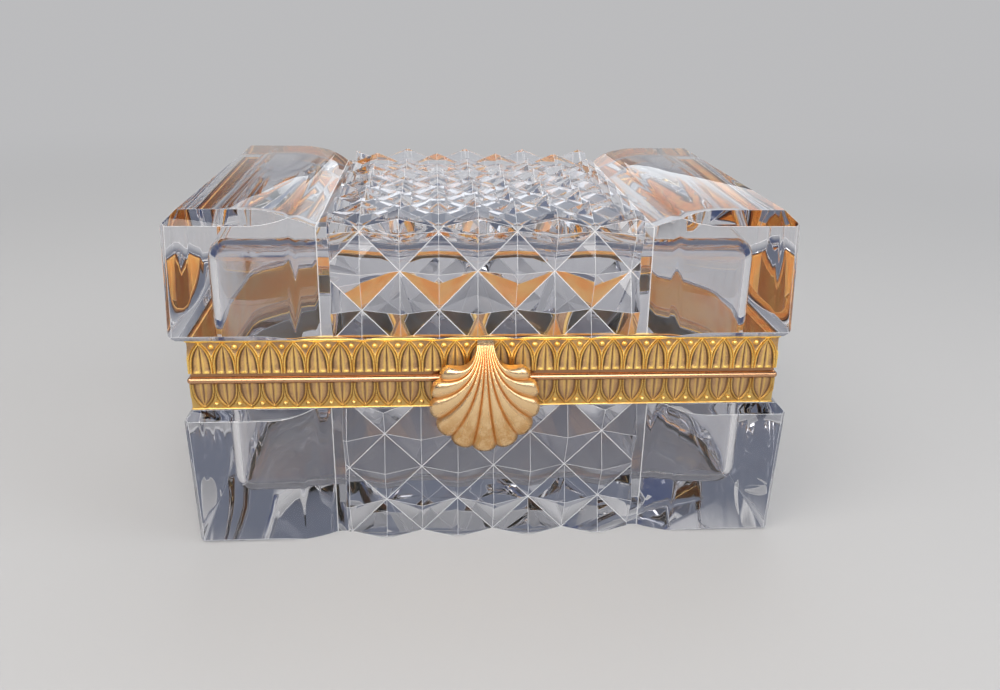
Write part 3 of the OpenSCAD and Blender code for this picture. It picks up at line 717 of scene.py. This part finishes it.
def shell_point(s, t):
    """Place of a point of the shell's face: s across the fan, t from neck to tip, in mm."""
    u = (s + 1) / 2 * LOBES
    valley = abs(2 * (u - math.floor(u)) - 1)
    angle = math.radians(270 + FAN_HALF * s * (1 - CROWD * s * s))
    reach = SHELL_R * (1 - SIDE_SHORT * s * s) - NOTCH * valley**NOTCH_POWER
    tip = Vector((reach * math.cos(angle), SHELL_CENTRE_Z + reach * math.sin(angle)))
    root = Vector((s * NECK_HALF, SHELL_TOP))
    bend = Vector((BEND_OUT * root.x, BEND_Z + BEND_UP * s * s))
    flat = (1 - t) ** 2 * root + 2 * t * (1 - t) * bend + t * t * tip
    crest = math.sqrt(max(1 - 0.97 * valley**2, 0)) - 0.2
    stand = NECK_T + SWELL * math.sin(math.pi * (0.02 + 0.8 * t)) - SIDE_FALL * t * s * s
    # the ribs grow out of the neck and flatten a little towards the tips
    stand += RIB * crest * (0.25 + t**0.7) * (1 - 0.45 * t**3)
    back = TONGUE_T if t <= SEAT_TO else SHELL_BACK
    if t < ROUND_TOP:
        rise = math.sqrt(1 - (1 - t / ROUND_TOP) ** 2)
        stand = back + (stand - back) * (TOP_LEFT + (1 - TOP_LEFT) * rise)
    if t > ROUND_FROM:
        rise = math.sqrt(max(1 - ((t - ROUND_FROM) / (1 - ROUND_FROM)) ** 2, 0))
        stand = back + (stand - back) * (TIP_LEFT + (1 - TIP_LEFT) * rise)
    return Vector((SHELL_X + flat.x, -(WALL_Y + stand), flat.y)), back, valley


bpy.ops.object.select_all(action="DESELECT")
across, along = LOBES * LOBE_STEPS, LONG_STEPS
bpy.ops.mesh.primitive_grid_add(x_subdivisions=across, y_subdivisions=along, size=1)
shell = bpy.context.object
shell.name = shell.data.name = "scallop_shell"
groove = shell.data.attributes.new("groove", "FLOAT", "POINT")
backs = []
for point in shell.data.vertices:
    s, t = 2 * point.co.x, 0.5 - point.co.y
    if t > CLOSE_FROM:
        last = 1 - CLOSE_FROM
        t = CLOSE_FROM + last * math.sin((t - CLOSE_FROM) / last * math.pi / 2)
    place, back, valley = shell_point(s, t)
    point.co = place * MM
    groove.data[point.index].value = valley * min(1, 3 * t)
    backs.append(back)
select_only(shell)
bpy.ops.object.mode_set(mode="EDIT")
bpy.ops.mesh.select_all(action="SELECT")
bpy.ops.mesh.duplicate()
bpy.ops.object.mode_set(mode="OBJECT")
for i, back in enumerate(backs):
    shell.data.vertices[len(backs) + i].co.y = -(WALL_Y + back) * MM
bpy.ops.object.mode_set(mode="EDIT")
bpy.ops.mesh.select_all(action="DESELECT")
bpy.ops.mesh.select_mode(type="EDGE")
bpy.ops.mesh.select_non_manifold()
bpy.ops.mesh.bridge_edge_loops()
bpy.ops.mesh.select_all(action="SELECT")
bpy.ops.mesh.normals_make_consistent(inside=False)
bpy.ops.object.mode_set(mode="OBJECT")
bpy.ops.object.shade_smooth_by_angle(angle=SMOOTH)

SHELL_BRIGHT = (1.0, 0.70, 0.38)
# painted shade: the darker orange of the grooves between the ribs
SHELL_GROOVE_SHADE = (0.80, 0.51, 0.26)
# painted shade: the darker tone of the lower lobes, which face down away from the light
SHELL_LOWER_SHADE = (0.70, 0.39, 0.15)
# heights in millimetres over which that painted shade fades out upwards
LOWER_SHADE_Z = (32, 45)
shell_gilding, start = new_finish("shell_gilding")
place = place_mm(start)
depth = start.node("Attribute", {"attribute_name": "groove"}, out="Fac")
height = start.node("SeparateXYZ", {}, {0: place}, out=2)
rub = place.noise(0.35, 4)
pits = place.noise(1.6, 3)
# painted shade: darker over the lower lobes, broken into mottled patches
lower_shade = (1 - height.ramp(*LOWER_SHADE_Z)) * (rub + 0.5 * pits).ramp(0.50, 0.90)
# painted shade: darker orange down in the grooves between the ribs
gilt = start.mixed(SHELL_BRIGHT, SHELL_GROOVE_SHADE, (depth + 0.5 * rub).ramp(0.55, 1.25))
skin(
    start,
    colour=start.mixed(gilt, SHELL_LOWER_SHADE, lower_shade),
    metallic=1.0,
    roughness=0.17 + 0.10 * rub + 0.10 * depth,
    relief=pits,
    strength=0.35,
    depth_mm=0.2,
)
dress(shell, shell_gilding)
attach(shell, "lid")
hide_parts("shell_clasp")
